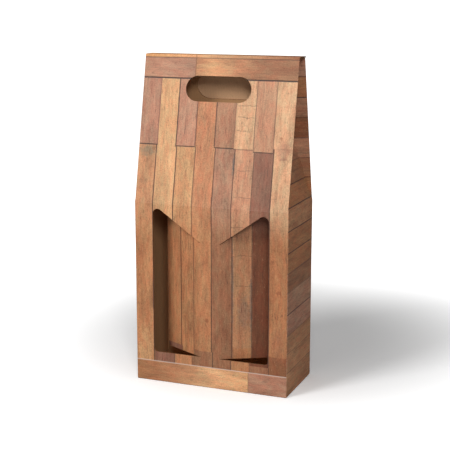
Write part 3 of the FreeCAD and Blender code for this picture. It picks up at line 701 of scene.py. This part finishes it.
def finish_of(face, panel):
    """Whether a face is printed, unprinted or cut. What lies behind its panel's board is unprinted."""
    facing = panel.out.dot(face.normal)
    if abs(facing) < BEND_FACING:
        return CUT
    on_wall = panel.depth(face.calc_center_median()) < BOARD + NEAR_PLANE
    return PRINTED if facing > 0 and on_wall else INSIDE


def dress(node, panels, spread=None):
    """Puts a merged copy in a node's place, with flat-sheet maps and the three finishes."""
    mesh = frame["nodes"][node].data.copy()
    mesh.name = node + "_board"
    shape = bmesh.new()
    shape.from_mesh(mesh)
    bmesh.ops.remove_doubles(shape, verts=shape.verts, dist=1e-6)
    bmesh.ops.dissolve_degenerate(shape, edges=shape.edges, dist=1e-7)
    if spread:
        spread(shape)
    sheet = shape.loops.layers.uv.new(SHEET_MAP)
    edge = shape.loops.layers.uv.new(EDGE_MAP)
    for face in shape.faces:
        panel = panel_of(face, panels)
        face.material_index = finish_of(face, panel)
        face.smooth = True
        for loop in face.loops:
            u, v = panel.flat(loop.vert.co)
            loop[sheet].uv = (u, v)
            along = u if abs(panel.across.dot(face.normal)) < ALONG_FLUTES else QUARTER_FLUTE
            loop[edge].uv = (along, panel.depth(loop.vert.co))
    for line in shape.edges:
        line.smooth = len(line.link_faces) == 2 and line.calc_face_angle(math.pi) < SMOOTH_ANGLE
    mesh.materials.clear()
    for material in (plank_material(), kraft_material(), cut_material()):
        mesh.materials.append(material)
    shape.to_mesh(mesh)
    shape.free()
    piece = bpy.data.objects.new(node + "_board", mesh)
    bpy.context.scene.collection.objects.link(piece)
    even = piece.modifiers.new("even shading", "WEIGHTED_NORMAL")
    even.keep_sharp = True
    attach(piece, frame["nodes"][node]["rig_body"])
    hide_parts(node)
    return piece


def plank_material():
    return bpy.data.materials.get("plank_print") or plank_print()


def kraft_material():
    return bpy.data.materials.get("kraft_inside") or kraft_inside()


# The handle flap's kraft, painted paler as if lit: painted light on the same paper.
def painted_light_kraft_material():
    return kraft_inside("kraft_of_flap", "kraft_lit")


def cut_material():
    return bpy.data.materials.get("cut_board") or cut_board()


class BOTTLE_BOX_OT_carton(bpy.types.Operator):
    """Dress the folded sheet with print outside, kraft inside and cut edges"""

    bl_idname = "bottle_box.carton"
    bl_label = "Carton"

    def execute(self, context):
        dress("carton", list(carton_panels().values()))
        return {"FINISHED"}


class BOTTLE_BOX_OT_window_flaps(bpy.types.Operator):
    """Dress the two window flaps with the front's print"""

    bl_idname = "bottle_box.window_flaps"
    bl_label = "Window flaps"

    def execute(self, context):
        front = carton_panels()["front"]
        for side, mark in (("left", -1), ("right", 1)):
            joint = JOINTS["window_%s_fold" % side]
            turn = -joint["range_deg"][0]
            dress("window_flap_" + side, [flap_panel(joint["pos_m"], turn, mark), front])
        return {"FINISHED"}


def close_cut(shape, crease, up):
    """Widens the flap below its crease, so that only a knife's width stays open round it."""
    low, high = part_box("handle_flap")
    reach = (crease.z - low.z) / 2
    for vert in shape.verts:
        drop = (crease - vert.co).dot(up)
        side = vert.co.x - min(max(vert.co.x, reach - high.x), high.x - reach)
        vert.co += (CUT_GAP - KNIFE_GAP) / reach * (Vector((side, 0, 0)) - (drop - reach) * up)


class BOTTLE_BOX_OT_handle_flap(bpy.types.Operator):
    """Dress the flap that hangs in the back hand hole"""

    bl_idname = "bottle_box.handle_flap"
    bl_label = "Handle flap"

    def execute(self, context):
        joint = JOINTS["handle_fold"]
        back = carton_panels()["back_slope"]
        tilt = math.atan2(-back.up.y, back.up.z) - math.radians(joint["range_deg"][0])
        up = Vector((0, -math.sin(tilt), math.cos(tilt)))
        at = back.flat(Vector(joint["pos_m"]))
        own = SheetPanel(joint["pos_m"], -X, up, at, back.reach)
        flap = dress("handle_flap", [own, back], lambda shape: close_cut(shape, Vector(joint["pos_m"]), up))
        # The flap's inside gets the paler copy of the kraft, which is painted light.
        flap.data.materials[INSIDE] = painted_light_kraft_material()
        return {"FINISHED"}


class BOTTLE_BOX_OT_top_flaps(bpy.types.Operator):
    """Dress the top flap and the tuck flap on its end"""

    bl_idname = "bottle_box.top_flaps"
    bl_label = "Top and tuck flaps"

    def execute(self, context):
        panels = carton_panels()
        front = panels["front_slope"]
        top_edge = front.flat(Vector((0, -TOP_HALF_DEPTH, HEIGHT)))[1]
        reach = ((-HALF_WIDTH, HALF_WIDTH), (top_edge, top_edge + 4 * TOP_HALF_DEPTH))
        top = SheetPanel((0, -TOP_HALF_DEPTH, HEIGHT), X, Y, (0, top_edge), reach)
        dress("top_flap", [top, panels["back_slope"]])
        crease = Vector(JOINTS["tuck_fold"]["pos_m"])
        tuck = SheetPanel(crease + BOARD * front.out, X, front.up, (0, top_edge), front.reach)
        dress("tuck_flap", [tuck, top])
        return {"FINISHED"}


class BOTTLE_BOX_OT_stage(bpy.types.Operator):
    """Make the camera, the lamps and the white sweep under the box"""

    bl_idname = "bottle_box.stage"
    bl_label = "Stage"

    def execute(self, context):
        look = context.scene.bottle_stage
        scene = context.scene
        scene.view_settings.view_transform = "Standard"
        make_camera(scene, look)
        make_lamps(scene, look)
        make_world(scene, look)
        make_sweep(scene, look)
        return {"FINISHED"}


def make_camera(scene, look):
    level = math.cos(look.elevation)
    side, front = math.sin(look.azimuth) * level, -math.cos(look.azimuth) * level
    back = Vector((side, front, math.sin(look.elevation)))
    camera = bpy.data.cameras.new("photo_view")
    camera.lens, camera.sensor_width = look.lens, 36
    camera.clip_start, camera.clip_end = 0.05, 60
    item = bpy.data.objects.new("photo_view", camera)
    item.location = Vector(look.aim) + look.distance * back
    item.rotation_euler = back.to_track_quat("Z", "Y").to_euler()
    scene.collection.objects.link(item)
    scene.camera = item


def make_lamps(scene, look):
    for name, (way, reach, wide, power) in LAMPS.items():
        lamp = bpy.data.lights.new(name, "AREA")
        lamp.shape, lamp.size, lamp.energy = "DISK", wide, getattr(look, power)
        item = bpy.data.objects.new(name, lamp)
        way = Vector(way).normalized()
        item.location = Vector(LAMP_AIM) + reach * way
        item.rotation_euler = way.to_track_quat("Z", "Y").to_euler()
        scene.collection.objects.link(item)


def make_world(scene, look):
    """Even light from all round, and plain white to the eye."""
    world = bpy.data.worlds.new("white_room")
    scene.world = world
    world.use_nodes = True
    tree = world.node_tree
    tree.nodes.clear()
    sky = tree.nodes.new("ShaderNodeBackground")
    sky.inputs["Strength"].default_value = look.sky
    white = tree.nodes.new("ShaderNodeBackground")
    ray = tree.nodes.new("ShaderNodeLightPath")
    both = tree.nodes.new("ShaderNodeMixShader")
    out = tree.nodes.new("ShaderNodeOutputWorld")
    sky.inputs["Color"].default_value = white.inputs["Color"].default_value = (1, 1, 1, 1)
    seen = tree.nodes.new("ShaderNodeMath")
    seen.operation = "MAXIMUM"
    tree.links.new(ray.outputs["Is Camera Ray"], seen.inputs[0])
    tree.links.new(ray.outputs["Is Transmission Ray"], seen.inputs[1])
    tree.links.new(seen.outputs[0], both.inputs[0])
    tree.links.new(sky.outputs[0], both.inputs[1])
    tree.links.new(white.outputs[0], both.inputs[2])
    tree.links.new(both.outputs[0], out.inputs[0])


def make_sweep(scene, look):
    """A floor that bends up into a backdrop behind the box."""
    mesh = bpy.data.meshes.new("white_sweep")
    shape = bmesh.new()
    profile = [(SWEEP_FRONT, 0.0), (SWEEP_BEND, 0.0)]
    for turn in map(math.radians, range(6, 91, 6)):
        profile.append((SWEEP_BEND + SWEEP_RADIUS * math.sin(turn), SWEEP_RADIUS * (1 - math.cos(turn))))
    profile.append((SWEEP_BEND + SWEEP_RADIUS, SWEEP_HEIGHT))
    line = [shape.verts.new((-SWEEP_WIDTH / 2, y, z)) for y, z in profile]
    edges = [shape.edges.new(pair) for pair in zip(line, line[1:])]
    grown = bmesh.ops.extrude_edge_only(shape, edges=edges)["geom"]
    moved = [item for item in grown if isinstance(item, bmesh.types.BMVert)]
    bmesh.ops.translate(shape, verts=moved, vec=(SWEEP_WIDTH, 0, 0))
    bmesh.ops.recalc_face_normals(shape, faces=shape.faces)
    if sum(face.normal.z for face in shape.faces) < 0:
        bmesh.ops.reverse_faces(shape, faces=shape.faces)
    for face in shape.faces:
        face.smooth = True
    shape.to_mesh(mesh)
    shape.free()
    mesh.materials.append(white_floor(look))
    sweep = bpy.data.objects.new("white_sweep", mesh)
    scene.collection.objects.link(sweep)


def white_floor(look):
    """White to the eye away from the box, with painted shade round a point behind it where the added white
    fades and the lamps' real shadow shows, and plain grey paper to the light that lands on it.
    """
    recipe = Recipe("white_floor")
    ray = recipe.add("LightPath", {}).outputs
    seen = recipe.math("MAXIMUM", ray["Is Camera Ray"], ray["Is Transmission Ray"])
    place = recipe.add("TexCoord", {}).outputs["Object"]
    # Painted shade: the camera's added white fades towards a point behind the box.
    away = recipe.add("VectorMath", {0: place, 1: PAINTED_SHADE_CENTRE}, operation="DISTANCE").outputs["Value"]
    glow = recipe.between(recipe.step(away, WHITE_FROM, WHITE_FULL), look.near_glow, 1.0)
    glow = recipe.math("MULTIPLY", seen, glow)
    tint = recipe.blend(seen, look.bounce[:], look.floor[:])
    shader = recipe.add("BsdfPrincipled", {"Base Color": tint, "Roughness": 0.9,
                                           "Specular IOR Level": 0.0, "Emission Color": (1, 1, 1, 1),
                                           "Emission Strength": glow})
    recipe.tree.links.new(shader.outputs[0], recipe.add("OutputMaterial", {}).inputs[0])
    return recipe.material


class BOTTLE_BOX_PT_sidebar(bpy.types.Panel):
    """The box's pieces and the looks that can be changed"""

    bl_label = "Bottle box"
    bl_idname = "BOTTLE_BOX_PT_sidebar"
    bl_space_type = "VIEW_3D"
    bl_region_type = "UI"
    bl_category = "Bottle box"

    def draw(self, context):
        for operator in OPERATORS:
            self.layout.operator(operator.bl_idname)
        for name in SETTINGS:
            group = getattr(context.scene, name)
            box = self.layout.box()
            for key in group.bl_rna.properties.keys():
                if key not in ("rna_type", "name"):
                    box.prop(group, key)


OPERATORS = (BOTTLE_BOX_OT_carton, BOTTLE_BOX_OT_window_flaps, BOTTLE_BOX_OT_handle_flap,
             BOTTLE_BOX_OT_top_flaps, BOTTLE_BOX_OT_stage)
SETTINGS = {"bottle_print": PlankPrint, "bottle_board": BoardFinish, "bottle_stage": StageLook}
CLASSES = (*SETTINGS.values(), *OPERATORS, BOTTLE_BOX_PT_sidebar)


def register():
    for item in CLASSES:
        bpy.utils.register_class(item)
    for name, group in SETTINGS.items():
        setattr(bpy.types.Scene, name, PointerProperty(type=group))


def unregister():
    for name in SETTINGS:
        delattr(bpy.types.Scene, name)
    for item in reversed(CLASSES):
        bpy.utils.unregister_class(item)


def main():
    register()
    bpy.ops.bottle_box.carton()
    bpy.ops.bottle_box.window_flaps()
    bpy.ops.bottle_box.handle_flap()
    bpy.ops.bottle_box.top_flaps()
    bpy.ops.bottle_box.stage()


if __name__ == "__main__":
    main()
